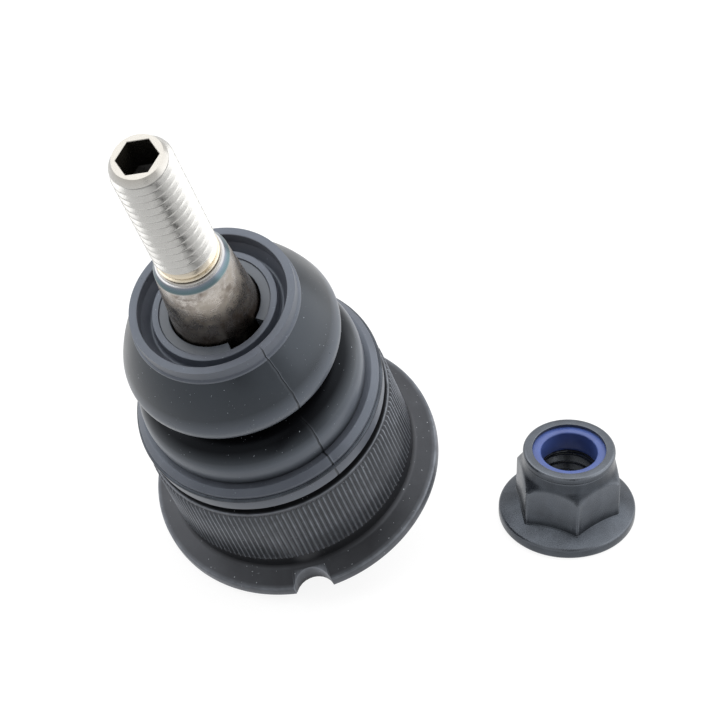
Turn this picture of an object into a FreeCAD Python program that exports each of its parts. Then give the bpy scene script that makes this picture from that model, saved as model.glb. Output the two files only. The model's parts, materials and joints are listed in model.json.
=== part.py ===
import FreeCAD, Part
import math
import os

import Sketcher

# Press-in suspension ball joint with its loose flange nut, all sizes in millimetres.
# The joint's pieces are drawn upright: height 0 is the underside of the housing's flange.
# They then lean over together, as the joint lies on its domed cover and its flange.
# The origin of the finished part is the centre of the ball, and +Z points straight up.

doc = FreeCAD.newDocument("BallJoint")
sheet = doc.addObject("Spreadsheet::Sheet", "Sizes")

# Sizes that are set by themselves
driving_sizes = {
    # Ball, bearing and swing
    "ball_radius": 16.0,
    "ball_height": 14.0,
    "bearing_clearance": 0.05,
    "ball_flat_depth": 1.4,
    "swing_each_way": 18.0,
    "swing_clearance": 0.8,

    # Housing: radii from the press band outwards and inwards
    "serration_radius": 27.4,
    "serration_depth": 0.5,
    "serration_count": 144,
    "serration_rise": 0.4,
    "flange_reach": 4.7,
    "land_step": 0.3,
    "spigot_step": 1.9,
    "bearing_wall": 4.55,

    # Housing: heights from the flange's underside upwards
    "flange_rim_thickness": 2.7,
    "rim_round": 0.9,
    "flange_slope_rise": 1.7,
    "root_fillet": 0.9,
    "pilot_length": 2.9,
    "serration_lead": 0.4,
    "serration_length": 18.4,
    "land_length": 0.8,
    "spigot_length": 6.6,
    "spigot_chamfer": 0.8,
    "spigot_mouth_relief": 0.4,
    "notch_radius": 4.4,
    "notch_azimuth": 275.0,

    # Domed closing cover and the lip that is rolled over its rim
    "cover_thickness": 2.5,
    "cover_rim_width": 2.15,
    "cover_play": 0.1,
    "lip_height": 1.3,
    "lip_thickness": 2.4,
    "lip_reach": 1.4,
    "lip_bevel": 0.2,
    "lip_draft": 0.8,

    # Bearing shells and the ring that preloads them
    "ring_thickness_above_mouth": 1.9,
    "cup_skirt_depth": 9.6,
    "cup_wall": 3.4,
    "grease_well_radius": 6.0,
    "preload_thickness": 2.75,
    "preload_inner_radius": 9.0,
    "preload_width": 5.5,

    # Ball stud: radii, then lengths one after another from the ball's centre
    "neck_radius": 8.0,
    "taper_large_radius": 9.6,
    "taper_drop": 1.35,
    "thread_radius": 7.0,
    "run_out_depth": 0.7,
    "neck_length": 24.0,
    "neck_cone_length": 8.0,
    "seal_land_length": 21.3,
    "taper_length": 17.7,
    "taper_shoulder_length": 1.1,
    "run_out_length": 1.9,
    "run_out_step": 0.4,
    "run_out_lead": 0.7,
    "thread_length": 35.4,
    "tip_chamfer_length": 2.6,
    "tip_chamfer_depth": 1.5,
    "socket_across_flats": 8.0,
    "socket_depth": 8.5,
    "socket_azimuth": -2.0,

    # Foot of the rubber boot, its press ring and its clamp ring
    "press_ring_thickness": 0.7,
    "foot_wall": 0.85,
    "foot_gap": 2.4,
    "foot_round": 0.7,
    "foot_roof": 1.0,
    "foot_roof_reach": 3.0,
    "roof_clearance": 0.6,
    "clamp_rise": 3.2,
    "clamp_wire_radius": 0.55,

    # Folds of the rubber boot: the lower one grows from the foot, the upper one hangs from the collar
    "boot_wall": 1.8,
    "fold_inset": 2.15,
    "fold_foot_inset": 0.5,
    "fold_rise": 3.0,
    "waist_depth": 6.0,
    "fold_roundness": 0.682,
    "waist_drop": 5.8,
    "edge_drop": 3.2,
    "edge_undercut": 0.8,
    "edge_round": 4.0,
    "bell_height": 11.2,
    "bell_flare": 5.4,
    "bell_bulge": 36.0,

    # Collar of the rubber boot and the split ring inside it
    "collar_rise": 2.8,
    "collar_depth": 9.1,
    "collar_lip_height": 3.5,
    "collar_lip_wall": 1.75,
    "collar_lip_flare": 0.25,
    "collar_lip_round": 0.6,
    "recess_width": 2.6,
    "recess_depth": 6.1,
    "recess_wall": 1.0,
    "hub_rise": 0.8,
    "hub_wall": 1.5,
    "hub_draft": 0.3,
    "split_ring_wall": 2.2,
    "split_ring_play": 0.3,
    "split_ring_sunk": 0.3,
    "split_ring_lift": 0.6,
    "split_ring_gap": 46.0,
    "split_ring_azimuth": 308.5,

    # Flange nut, measured upwards from its bearing face
    "nut_across_flats": 21.0,
    "nut_flange_reach": 3.0,
    "nut_rim_thickness": 2.5,
    "nut_rim_round": 0.7,
    "nut_cone_rise": 2.0,
    "nut_hex_top": 13.9,
    "nut_thread_depth": 1.0,
    "nut_bore_chamfer": 1.1,
    "nut_chamfer_slope": 42.0,
    "crown_foot_inset": 0.1,
    "crown_inset": 0.3,
    "crown_round": 2.0,
    "crown_height": 5.1,
    "crown_wall": 1.5,
    "crimp_land": 0.1,
    "crimp_thickness": 0.7,
    "insert_grip": 0.8,
    "insert_sunk": 0.7,
    "nut_corner_azimuth": -21.6,
    "nut_place_x": 62.7,
    "nut_place_y": 2.65,

    # How the joint lies on the floor, and how far a cutting outline reaches past what it cuts
    "lean_azimuth": 228.9,
    "cut_margin": 0.05,
}

# Sizes that follow from them, as the sheet's own formulas
following_sizes = {
    # Bearing
    "bearing_radius": "ball_radius + bearing_clearance",
    "corner_swing": "acos(cos(swing_each_way) ^ 2)",
    "mouth_angle": "corner_swing + asin((neck_radius + swing_clearance) / bearing_radius)",
    "mouth_radius": "bearing_radius * sin(mouth_angle)",
    "bearing_top": "ball_height + bearing_radius * cos(mouth_angle)",
    "ring_top": "bearing_top + ring_thickness_above_mouth",
    "swing_slope": "tan(corner_swing)",
    "neck_reach": "(neck_radius + swing_clearance) / cos(corner_swing)",
    "throat_radius": "neck_reach + swing_slope * (ring_top - ball_height)",
    "cavity_radius": "bearing_radius + bearing_wall",
    "cup_outer_sphere": "bearing_radius + cup_wall",
    "cup_skirt_bottom": "ball_height - cup_skirt_depth",
    "cup_step_radius": "sqrt(cup_outer_sphere ^ 2 - cup_skirt_depth ^ 2)",
    "cup_well_top": "ball_height - sqrt(bearing_radius ^ 2 - grease_well_radius ^ 2)",
    "cup_well_bottom": "ball_height - sqrt(cup_outer_sphere ^ 2 - grease_well_radius ^ 2)",

    # Cover, its lip and the preload ring
    "cover_inner_sphere": "cup_outer_sphere + preload_thickness",
    "dome_radius": "cover_inner_sphere + cover_thickness",
    "cover_bottom": "ball_height - dome_radius",
    "cover_inside_bottom": "ball_height - cover_inner_sphere",
    "dome_edge_radius": "sqrt(dome_radius ^ 2 - ball_height ^ 2)",
    "cover_rim_radius": "dome_edge_radius + cover_rim_width",
    "cover_hollow_radius": "sqrt(cover_inner_sphere ^ 2 - (ball_height - cover_thickness) ^ 2)",
    "cover_seat_radius": "cover_rim_radius + cover_play",
    "lip_inner_radius": "cover_rim_radius - lip_reach",
    "lip_tip_radius": "lip_inner_radius + lip_bevel",
    "lip_root_radius": "cover_seat_radius + lip_thickness",
    "lip_outer_radius": "lip_root_radius - lip_draft",
    "lip_bottom": "-lip_height",
    "preload_outer_radius": "preload_inner_radius + preload_width",
    "preload_top_inner": "ball_height - sqrt(cup_outer_sphere ^ 2 - preload_inner_radius ^ 2)",
    "preload_top_outer": "ball_height - sqrt(cup_outer_sphere ^ 2 - preload_outer_radius ^ 2)",
    "preload_low_inner": "ball_height - sqrt(cover_inner_sphere ^ 2 - preload_inner_radius ^ 2)",
    "preload_low_outer": "ball_height - sqrt(cover_inner_sphere ^ 2 - preload_outer_radius ^ 2)",

    # Housing
    "pilot_radius": "serration_radius - serration_rise",
    "flange_radius": "pilot_radius + flange_reach",
    "land_radius": "serration_radius - land_step",
    "spigot_radius": "land_radius - spigot_step",
    "rim_centre_radius": "flange_radius - rim_round",
    "rim_upper_height": "flange_rim_thickness - rim_round",
    "flange_root_height": "flange_rim_thickness + flange_slope_rise",
    "root_outer_radius": "pilot_radius + root_fillet",
    "root_top_height": "flange_root_height + root_fillet",
    "serration_start": "root_top_height + pilot_length",
    "serration_full": "serration_start + serration_lead",
    "serration_end": "serration_start + serration_length",
    "shoulder_height": "serration_end + land_length",
    "spigot_height": "shoulder_height + spigot_length",
    "spigot_chamfer_radius": "spigot_radius - spigot_chamfer",
    "spigot_chamfer_height": "spigot_height - spigot_chamfer",
    "spigot_mouth_radius": "neck_reach + swing_slope * (spigot_height - ball_height) + spigot_mouth_relief",
    "serration_root_radius": "serration_radius - serration_depth",
    "serration_outside": "serration_radius + cut_margin",
    "serration_half": "serration_outside * sin(180 / serration_count)",

    # Stud
    "ball_bottom": "ball_height - ball_radius + ball_flat_depth",
    "ball_flat_radius": "sqrt(ball_radius ^ 2 - (ball_radius - ball_flat_depth) ^ 2)",
    "neck_start": "ball_height + sqrt(ball_radius ^ 2 - neck_radius ^ 2)",
    "neck_end": "ball_height + neck_length",
    "seal_land_start": "neck_end + neck_cone_length",
    "taper_start": "seal_land_start + seal_land_length",
    "taper_end": "taper_start + taper_length",
    "taper_small_radius": "taper_large_radius - taper_drop",
    "shoulder_end": "taper_end + taper_shoulder_length",
    "run_out_bottom": "shoulder_end + run_out_step",
    "run_out_radius": "thread_radius - run_out_depth",
    "thread_start": "shoulder_end + run_out_length",
    "run_out_end": "thread_start - run_out_lead",
    "stud_tip": "thread_start + thread_length",
    "chamfer_start": "stud_tip - tip_chamfer_length",
    "tip_radius": "thread_radius - tip_chamfer_depth",
    "socket_half_flats": "socket_across_flats / 2",
    "socket_corner": "socket_half_flats / cos(30)",
    "socket_half_side": "socket_corner / 2",

    # Foot of the boot
    "press_ring_radius": "spigot_radius + press_ring_thickness",
    "press_ring_top": "spigot_height + roof_clearance",
    "foot_radius": "press_ring_radius + foot_wall",
    "foot_bottom": "shoulder_height + foot_gap",
    "foot_top": "press_ring_top + foot_roof",
    "foot_inner_radius": "spigot_radius - foot_roof_reach",
    "foot_shelf_radius": "foot_radius - foot_round",
    "foot_round_height": "foot_top - foot_round",
    "clamp_height": "foot_bottom + clamp_rise",

    # Collar of the boot and the split ring
    "collar_top": "taper_start + collar_rise",
    "boot_shoulder_height": "collar_top - collar_lip_height",
    "recess_floor": "collar_top - recess_depth",
    "recess_slope_top": "boot_shoulder_height + recess_wall",
    "collar_bottom": "collar_top - collar_depth",
    "collar_hub_top": "taper_start + hub_rise",
    "split_ring_top": "collar_hub_top - split_ring_sunk",
    "split_ring_bottom": "collar_bottom + split_ring_lift",
    "split_ring_inner": "taper_large_radius + split_ring_play",
    "split_ring_radius": "split_ring_inner + split_ring_wall",
    "split_ring_turn": "360 - split_ring_gap",
    "split_ring_start": "split_ring_azimuth + split_ring_gap / 2",
    "collar_hub_radius": "split_ring_radius + hub_wall",
    "collar_wall_radius": "collar_hub_radius + hub_draft",
    "collar_lip_inner": "collar_hub_radius + recess_width",
    "collar_lip_radius": "collar_lip_inner + collar_lip_wall",
    "collar_lip_start": "collar_top - collar_lip_round",
    "collar_lip_flat": "collar_lip_radius - collar_lip_round",
    "shoulder_radius": "collar_lip_radius + collar_lip_flare",
    "shoulder_inner_radius": "shoulder_radius - boot_wall",

    # Folds of the boot
    "upper_fold_crest": "boot_shoulder_height - bell_height",
    "upper_fold_radius": "shoulder_radius + bell_flare",
    "upper_fold_inner": "upper_fold_radius - boot_wall",
    "upper_fold_edge_height": "upper_fold_crest - edge_drop",
    "upper_fold_edge_radius": "upper_fold_radius - edge_undercut",
    "edge_inner_height": "upper_fold_edge_height + boot_wall / 2",
    "edge_inner_radius": "upper_fold_edge_radius - boot_wall",
    "fold_waist_height": "upper_fold_edge_height - waist_drop",
    "lower_fold_crest": "foot_top + fold_rise",
    "lower_fold_radius": "foot_radius - fold_inset",
    "lower_fold_inner": "lower_fold_radius - boot_wall",
    "lower_fold_foot_radius": "lower_fold_radius - fold_foot_inset",
    "lower_fold_foot_inner": "lower_fold_foot_radius - boot_wall",
    "fold_waist_radius": "lower_fold_radius - waist_depth",
    "waist_inner_radius": "fold_waist_radius - boot_wall",
    "lower_fold_chord": "sqrt(waist_depth ^ 2 + (fold_waist_height - lower_fold_crest) ^ 2)",
    "lower_fold_turn": "lower_fold_chord * fold_roundness",

    # Nut
    "nut_half_flats": "nut_across_flats / 2",
    "nut_corner": "nut_half_flats / cos(30)",
    "nut_half_side": "nut_corner / 2",
    "nut_flange_radius": "nut_corner + nut_flange_reach",
    "nut_rim_flat": "nut_flange_radius - nut_rim_round",
    "nut_rim_upper": "nut_rim_thickness - nut_rim_round",
    "nut_flange_top": "nut_rim_thickness + nut_cone_rise",
    "nut_beyond": "nut_corner + cut_margin",
    "nut_chamfer_low": "nut_hex_top - (nut_beyond - nut_half_flats) * tan(nut_chamfer_slope)",
    "nut_hex_length": "nut_hex_top - nut_rim_thickness",
    "nut_bore_radius": "thread_radius - nut_thread_depth",
    "nut_bore_entry": "nut_bore_radius + nut_bore_chamfer",
    "nut_height": "nut_hex_top + crown_height",
    "crown_foot_radius": "nut_half_flats - crown_foot_inset",
    "crown_radius": "nut_half_flats - crown_inset",
    "crown_flat_radius": "crown_radius - crown_round",
    "crown_round_start": "nut_height - crown_round",
    "insert_top": "nut_height - crimp_thickness",
    "insert_floor": "nut_hex_top - insert_sunk",
    "insert_radius": "crown_radius - crown_wall",
    "insert_inner_radius": "thread_radius - insert_grip",
    "insert_window_radius": "crown_flat_radius - crimp_land",

    # Resting on the floor: the dome's sphere and the flange's rounded rim touch one plane
    "rim_down": "ball_height - rim_round",
    "rim_distance": "sqrt(rim_centre_radius ^ 2 + rim_down ^ 2)",
    "lean": "asin((dome_radius - rim_round) / rim_distance) - atan(rim_down / rim_centre_radius)",
}


def fill_sheet():
    """One row for each size: its words, then its value or formula under its alias."""
    contents = {alias: str(value) for alias, value in driving_sizes.items()}
    contents.update({alias: "=" + formula for alias, formula in following_sizes.items()})
    for row, (alias, content) in enumerate(contents.items(), 1):
        sheet.set("A%d" % row, alias.replace("_", " "))
        sheet.set("B%d" % row, content)
        sheet.setAlias("B%d" % row, alias)
    doc.recompute()


def value_of(alias):
    """The number behind an alias; a minus sign in front turns it round, and "0" is nought."""
    if alias == "0":
        return 0.0
    if alias.startswith("-"):
        return -value_of(alias[1:])
    number = sheet.get(alias)
    return float(getattr(number, "Value", number))


def formula_of(alias):
    if alias.startswith("-"):
        return "-Sizes." + alias[1:]
    return "Sizes." + alias


fill_sheet()


def origin_plane(body, role):
    return [item for item in body.Origin.OriginFeatures if item.Role == role][0]


def new_body(label):
    body = doc.addObject("PartDesign::Body", label)
    body.Label = label
    return body


def new_sketch(body, name, role, height=None):
    """An empty sketch on one of the body's own planes, raised to a named height if given."""
    sketch = body.newObject("Sketcher::SketchObject", body.Name + "_" + name)
    sketch.AttachmentSupport = [(origin_plane(body, role), "")]
    sketch.MapMode = "FlatFace"
    if height:
        sketch.AttachmentOffset = FreeCAD.Placement(
            FreeCAD.Vector(0, 0, value_of(height)), FreeCAD.Rotation())
        sketch.setExpression("AttachmentOffset.Base.z", formula_of(height))
    return sketch


def fix_length(sketch, kind, geometry, point, alias):
    """Dimension one coordinate of a sketch point, or a radius, by its alias."""
    if kind == "Radius":
        number = sketch.addConstraint(Sketcher.Constraint(kind, geometry, value_of(alias)))
    else:
        number = sketch.addConstraint(
            Sketcher.Constraint(kind, geometry, point, value_of(alias)))
    sketch.setExpression("Constraints[%d]" % number, formula_of(alias))


def fix_point(sketch, geometry, point, across, up):
    for kind, alias, axis in (("DistanceX", across, -2), ("DistanceY", up, -1)):
        if alias == "0":
            sketch.addConstraint(Sketcher.Constraint("PointOnObject", geometry, point, axis))
        else:
            fix_length(sketch, kind, geometry, point, alias)


def arc_between(start, end, radius, side):
    """The short arc from start to end; side is 1 with its centre on the left, -1 on the right."""
    chord = end - start
    half = chord.Length / 2
    rise = math.sqrt(max(radius * radius - half * half, 0.0))
    left = FreeCAD.Vector(-chord.y, chord.x, 0) / chord.Length
    centre = (start + end) / 2 + left * (rise * side)
    first, last = (start, end) if side > 0 else (end, start)
    angles = [math.atan2(p.y - centre.y, p.x - centre.x) for p in (first, last)]
    if angles[1] < angles[0]:
        angles[1] += 2 * math.pi
    circle = Part.Circle(centre, FreeCAD.Vector(0, 0, 1), radius)
    return Part.ArcOfCircle(circle, angles[0], angles[1])


def draw_outline(sketch, corners):
    """A closed outline. A corner is (across, up), or (across, up, radius, side) where an arc follows."""
    points = [FreeCAD.Vector(value_of(c[0]), value_of(c[1]), 0) for c in corners]
    edges = []
    for index, corner in enumerate(corners):
        start = points[index]
        end = points[(index + 1) % len(points)]
        if len(corner) == 2:
            edges.append((sketch.addGeometry(Part.LineSegment(start, end)), 1, 2))
            continue
        radius, side = corner[2:]
        number = sketch.addGeometry(arc_between(start, end, value_of(radius), side))
        edges.append((number, 1, 2) if side > 0 else (number, 2, 1))
    for index, (number, start, end) in enumerate(edges):
        following, first, _ = edges[(index + 1) % len(edges)]
        sketch.addConstraint(Sketcher.Constraint("Coincident", number, end, following, first))
    for corner, (number, start, end) in zip(corners, edges):
        fix_point(sketch, number, start, corner[0], corner[1])
        if len(corner) > 2:
            fix_length(sketch, "Radius", number, 0, corner[2])


def draw_circle(sketch, radius, across="0", up="0"):
    centre = FreeCAD.Vector(value_of(across), value_of(up), 0)
    circle = Part.Circle(centre, FreeCAD.Vector(0, 0, 1), value_of(radius))
    number = sketch.addGeometry(circle)
    fix_point(sketch, number, 3, across, up)
    fix_length(sketch, "Radius", number, 0, radius)


def hexagon(corner, half_side, half_flats):
    return [
        (corner, "0"), (half_side, half_flats), ("-" + half_side, half_flats),
        ("-" + corner, "0"), ("-" + half_side, "-" + half_flats), (half_side, "-" + half_flats),
    ]


def revolve(body, sketch, cut=False, angle=None):
    """Turn a sketch about the body's own axis, adding or cutting."""
    kind = "PartDesign::Groove" if cut else "PartDesign::Revolution"
    feature = body.newObject(kind, sketch.Name + "_turned")
    feature.Profile = sketch
    feature.ReferenceAxis = (sketch, ["V_Axis"])
    feature.Angle = 360
    if angle:
        feature.setExpression("Angle", formula_of(angle))


def turn(body, name, corners, cut=False, angle=None):
    sketch = new_sketch(body, name, "XZ_Plane")
    draw_outline(sketch, corners)
    revolve(body, sketch, cut, angle)


def turn_circle(body, name, across, up, radius, cut=False):
    """A turned circle: a round ring, or a round groove."""
    sketch = new_sketch(body, name, "XZ_Plane")
    draw_circle(sketch, radius, across, up)
    revolve(body, sketch, cut)


def cut_along(body, sketch, name, length, upward):
    feature = body.newObject("PartDesign::Pocket", body.Name + "_" + name)
    feature.Profile = sketch
    feature.Reversed = upward
    feature.Length = value_of(length)
    feature.setExpression("Length", formula_of(length))
    return feature


def make_housing():
    """Forged housing: flange, pilot, serrated press band, spigot for the boot, rolled lip."""
    body = new_body("housing")
    turn(body, "wall", [
        ("lip_inner_radius", "0"),
        ("lip_tip_radius", "lip_bottom"),
        ("lip_outer_radius", "lip_bottom"),
        ("lip_root_radius", "0"),
        ("rim_centre_radius", "0", "rim_round", 1),
        ("flange_radius", "rim_round"),
        ("flange_radius", "rim_upper_height", "rim_round", 1),
        ("rim_centre_radius", "flange_rim_thickness"),
        ("root_outer_radius", "flange_root_height", "root_fillet", -1),
        ("pilot_radius", "root_top_height"),
        ("pilot_radius", "serration_start"),
        ("serration_radius", "serration_full"),
        ("serration_radius", "serration_end"),
        ("land_radius", "shoulder_height"),
        ("spigot_radius", "shoulder_height"),
        ("spigot_radius", "spigot_chamfer_height"),
        ("spigot_chamfer_radius", "spigot_height"),
        ("spigot_mouth_radius", "spigot_height"),
        ("throat_radius", "ring_top"),
        ("cavity_radius", "ring_top"),
        ("cavity_radius", "cover_thickness"),
        ("cover_seat_radius", "cover_thickness"),
        ("cover_seat_radius", "0"),
    ])
    notch = new_sketch(body, "notch", "XY_Plane")
    draw_circle(notch, "notch_radius", "flange_radius")
    cut_along(body, notch, "notch_cut", "root_top_height", True)
    tooth = new_sketch(body, "gap", "XY_Plane", "serration_start")
    draw_outline(tooth, [
        ("serration_root_radius", "0"),
        ("serration_outside", "-serration_half"),
        ("serration_outside", "serration_half"),
    ])
    gap = cut_along(body, tooth, "gap_cut", "serration_length", True)
    doc.recompute()
    pattern = body.newObject("PartDesign::PolarPattern", "housing_serrations")
    pattern.Originals = [gap]
    pattern.Axis = (tooth, ["N_Axis"])
    pattern.Angle = 360
    pattern.Occurrences = int(value_of("serration_count"))
    pattern.setExpression("Occurrences", formula_of("serration_count"))
    body.Tip = pattern
    return body


def make_end_cover():
    """Domed steel cover that closes the housing from below."""
    body = new_body("end_cover")
    turn(body, "dome", [
        ("0", "cover_bottom", "dome_radius", 1),
        ("dome_edge_radius", "0"),
        ("cover_rim_radius", "0"),
        ("cover_rim_radius", "cover_thickness"),
        ("cover_hollow_radius", "cover_thickness", "cover_inner_sphere", -1),
        ("0", "cover_inside_bottom"),
    ])
    return body


def make_upper_bearing_ring():
    """Plastic ring that holds the ball down from above."""
    body = new_body("upper_bearing_ring")
    turn(body, "ring", [
        ("bearing_radius", "ball_height"),
        ("cavity_radius", "ball_height"),
        ("cavity_radius", "ring_top"),
        ("throat_radius", "ring_top"),
        ("mouth_radius", "bearing_top", "bearing_radius", -1),
    ])
    return body


def make_lower_bearing_cup():
    """Plastic cup under the ball, with a grease well in its middle."""
    body = new_body("lower_bearing_cup")
    turn(body, "cup", [
        ("bearing_radius", "ball_height", "bearing_radius", -1),
        ("grease_well_radius", "cup_well_top"),
        ("grease_well_radius", "cup_well_bottom", "cup_outer_sphere", 1),
        ("cup_step_radius", "cup_skirt_bottom"),
        ("cavity_radius", "cup_skirt_bottom"),
        ("cavity_radius", "ball_height"),
    ])
    return body


def make_preload_ring():
    """Elastic ring squeezed between the cup and the cover."""
    body = new_body("preload_ring")
    turn(body, "ring", [
        ("preload_inner_radius", "preload_low_inner", "cover_inner_sphere", 1),
        ("preload_outer_radius", "preload_low_outer"),
        ("preload_outer_radius", "preload_top_outer", "cup_outer_sphere", -1),
        ("preload_inner_radius", "preload_top_inner"),
    ])
    return body


def make_ball_stud():
    """Forged stud: ball, neck, sealing land, taper, thread run-out, thread and hex socket."""
    body = new_body("ball_stud")
    turn(body, "stud", [
        ("0", "ball_bottom"),
        ("ball_flat_radius", "ball_bottom", "ball_radius", 1),
        ("ball_radius", "ball_height", "ball_radius", 1),
        ("neck_radius", "neck_start"),
        ("neck_radius", "neck_end"),
        ("taper_large_radius", "seal_land_start"),
        ("taper_large_radius", "taper_start"),
        ("taper_small_radius", "taper_end"),
        ("thread_radius", "shoulder_end"),
        ("run_out_radius", "run_out_bottom"),
        ("run_out_radius", "run_out_end"),
        ("thread_radius", "thread_start"),
        ("thread_radius", "chamfer_start"),
        ("tip_radius", "stud_tip"),
        ("0", "stud_tip"),
    ])
    socket = new_sketch(body, "socket", "XY_Plane", "stud_tip")
    draw_outline(socket, hexagon("socket_corner", "socket_half_side", "socket_half_flats"))
    cut_along(body, socket, "socket_cut", "socket_depth", False)
    return body


def make_boot_press_ring():
    """Thin steel sleeve inside the boot's foot, pressed on the housing's spigot."""
    body = new_body("boot_press_ring")
    turn(body, "sleeve", [
        ("spigot_radius", "foot_bottom"),
        ("press_ring_radius", "foot_bottom"),
        ("press_ring_radius", "press_ring_top"),
        ("spigot_radius", "press_ring_top"),
    ])
    return body


def make_boot_foot():
    """Rubber foot of the boot, with the round groove that its clamp ring lies in."""
    body = new_body("boot_foot")
    turn(body, "foot", [
        ("press_ring_radius", "foot_bottom"),
        ("foot_radius", "foot_bottom"),
        ("foot_radius", "foot_round_height", "foot_round", 1),
        ("foot_shelf_radius", "foot_top"),
        ("foot_inner_radius", "foot_top"),
        ("foot_inner_radius", "press_ring_top"),
        ("press_ring_radius", "press_ring_top"),
    ])
    turn_circle(body, "groove", "foot_radius", "clamp_height", "clamp_wire_radius", cut=True)
    return body


def make_boot_clamp_ring():
    """Round wire ring in the foot's groove."""
    body = new_body("boot_clamp_ring")
    turn_circle(body, "wire", "foot_radius", "clamp_height", "clamp_wire_radius")
    return body


def make_boot_lower_fold():
    """Lower fold of the rubber boot, from its foot to its waist."""
    body = new_body("boot_lower_fold")
    turn(body, "fold", [
        ("lower_fold_foot_radius", "foot_top"),
        ("lower_fold_radius", "lower_fold_crest", "lower_fold_turn", 1),
        ("fold_waist_radius", "fold_waist_height"),
        ("waist_inner_radius", "fold_waist_height", "lower_fold_turn", -1),
        ("lower_fold_inner", "lower_fold_crest"),
        ("lower_fold_foot_inner", "foot_top"),
    ])
    return body


def make_boot_upper_fold():
    """Upper bell of the rubber boot, from its waist to its shoulder."""
    body = new_body("boot_upper_fold")
    turn(body, "bell", [
        ("waist_inner_radius", "fold_waist_height"),
        ("fold_waist_radius", "fold_waist_height"),
        ("upper_fold_edge_radius", "upper_fold_edge_height", "edge_round", 1),
        ("upper_fold_radius", "upper_fold_crest", "bell_bulge", 1),
        ("shoulder_radius", "boot_shoulder_height"),
        ("shoulder_inner_radius", "boot_shoulder_height", "bell_bulge", -1),
        ("upper_fold_inner", "upper_fold_crest"),
        ("edge_inner_radius", "edge_inner_height"),
    ])
    return body


def make_boot_collar():
    """Rubber collar: outer lip, open recess, and the hub that grips the split ring."""
    body = new_body("boot_collar")
    turn(body, "collar", [
        ("split_ring_radius", "collar_bottom"),
        ("collar_wall_radius", "collar_bottom"),
        ("shoulder_inner_radius", "boot_shoulder_height"),
        ("shoulder_radius", "boot_shoulder_height"),
        ("collar_lip_radius", "collar_lip_start", "collar_lip_round", 1),
        ("collar_lip_flat", "collar_top"),
        ("collar_lip_inner", "collar_top"),
        ("collar_lip_inner", "recess_slope_top"),
        ("collar_hub_radius", "recess_floor"),
        ("collar_hub_radius", "collar_hub_top"),
        ("split_ring_radius", "collar_hub_top"),
    ])
    return body


def make_collar_split_ring():
    """Open ring inside the collar, round the sealing land of the stud."""
    body = new_body("collar_split_ring")
    turn(body, "ring", [
        ("split_ring_inner", "split_ring_bottom"),
        ("split_ring_radius", "split_ring_bottom"),
        ("split_ring_radius", "split_ring_top"),
        ("split_ring_inner", "split_ring_top"),
    ], angle="split_ring_turn")
    return body


def make_flange_nut():
    """Hexagon nut with a wide flange and a crimped crown round its locking insert."""
    body = new_body("flange_nut")
    turn(body, "core", [
        ("nut_bore_entry", "0"),
        ("nut_rim_flat", "0", "nut_rim_round", 1),
        ("nut_flange_radius", "nut_rim_round"),
        ("nut_flange_radius", "nut_rim_upper", "nut_rim_round", 1),
        ("nut_rim_flat", "nut_rim_thickness"),
        ("crown_foot_radius", "nut_flange_top"),
        ("crown_foot_radius", "nut_hex_top"),
        ("crown_radius", "crown_round_start", "crown_round", 1),
        ("crown_flat_radius", "nut_height"),
        ("insert_window_radius", "nut_height"),
        ("insert_window_radius", "insert_top"),
        ("insert_radius", "insert_top"),
        ("insert_radius", "insert_floor"),
        ("nut_bore_radius", "insert_floor"),
        ("nut_bore_radius", "nut_bore_chamfer"),
    ])
    flats = new_sketch(body, "flats", "XY_Plane", "nut_rim_thickness")
    draw_outline(flats, hexagon("nut_corner", "nut_half_side", "nut_half_flats"))
    draw_circle(flats, "insert_radius")
    pad = body.newObject("PartDesign::Pad", "flange_nut_hexagon")
    pad.Profile = flats
    pad.Length = value_of("nut_hex_length")
    pad.setExpression("Length", formula_of("nut_hex_length"))
    turn(body, "chamfer", [
        ("nut_half_flats", "nut_hex_top"),
        ("nut_beyond", "nut_chamfer_low"),
        ("nut_beyond", "nut_hex_top"),
    ], cut=True)
    return body


def make_locking_insert():
    """Blue plastic ring that grips the thread."""
    body = new_body("locking_insert")
    turn(body, "ring", [
        ("insert_inner_radius", "insert_floor"),
        ("insert_radius", "insert_floor"),
        ("insert_radius", "insert_top"),
        ("insert_inner_radius", "insert_top"),
    ])
    return body


def leaning(azimuth_alias=None):
    """Placement of a joint piece, turned about the joint's own axis if an azimuth is given."""
    up = FreeCAD.Vector(0, 0, 1)
    toward = FreeCAD.Rotation(up, value_of("lean_azimuth"))
    tip_over = FreeCAD.Rotation(FreeCAD.Vector(0, 1, 0), value_of("lean"))
    rotation = toward.multiply(tip_over).multiply(toward.inverted())
    drop = rotation.multVec(FreeCAD.Vector(0, 0, -value_of("ball_height")))
    if azimuth_alias:
        rotation = rotation.multiply(FreeCAD.Rotation(up, value_of(azimuth_alias)))
    return FreeCAD.Placement(drop, rotation)


def nut_placement():
    """The nut stands on its flange, on the floor that the dome touches."""
    place = FreeCAD.Vector(
        value_of("nut_place_x"), value_of("nut_place_y"), -value_of("dome_radius"))
    rotation = FreeCAD.Rotation(FreeCAD.Vector(0, 0, 1), value_of("nut_corner_azimuth"))
    return FreeCAD.Placement(place, rotation)


upright_pieces = [
    make_end_cover(), make_upper_bearing_ring(), make_lower_bearing_cup(), make_preload_ring(),
    make_boot_press_ring(), make_boot_foot(), make_boot_clamp_ring(), make_boot_lower_fold(),
    make_boot_upper_fold(), make_boot_collar(),
]
housing = make_housing()
stud = make_ball_stud()
split_ring = make_collar_split_ring()
nut_pieces = [make_flange_nut(), make_locking_insert()]
nodes = upright_pieces + [housing, stud, split_ring] + nut_pieces

doc.recompute()

for piece in upright_pieces:
    piece.Placement = leaning()
housing.Placement = leaning("notch_azimuth")
stud.Placement = leaning("socket_azimuth")
split_ring.Placement = leaning("split_ring_start")
for piece in nut_pieces:
    piece.Placement = nut_placement()
doc.recompute()

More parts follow.
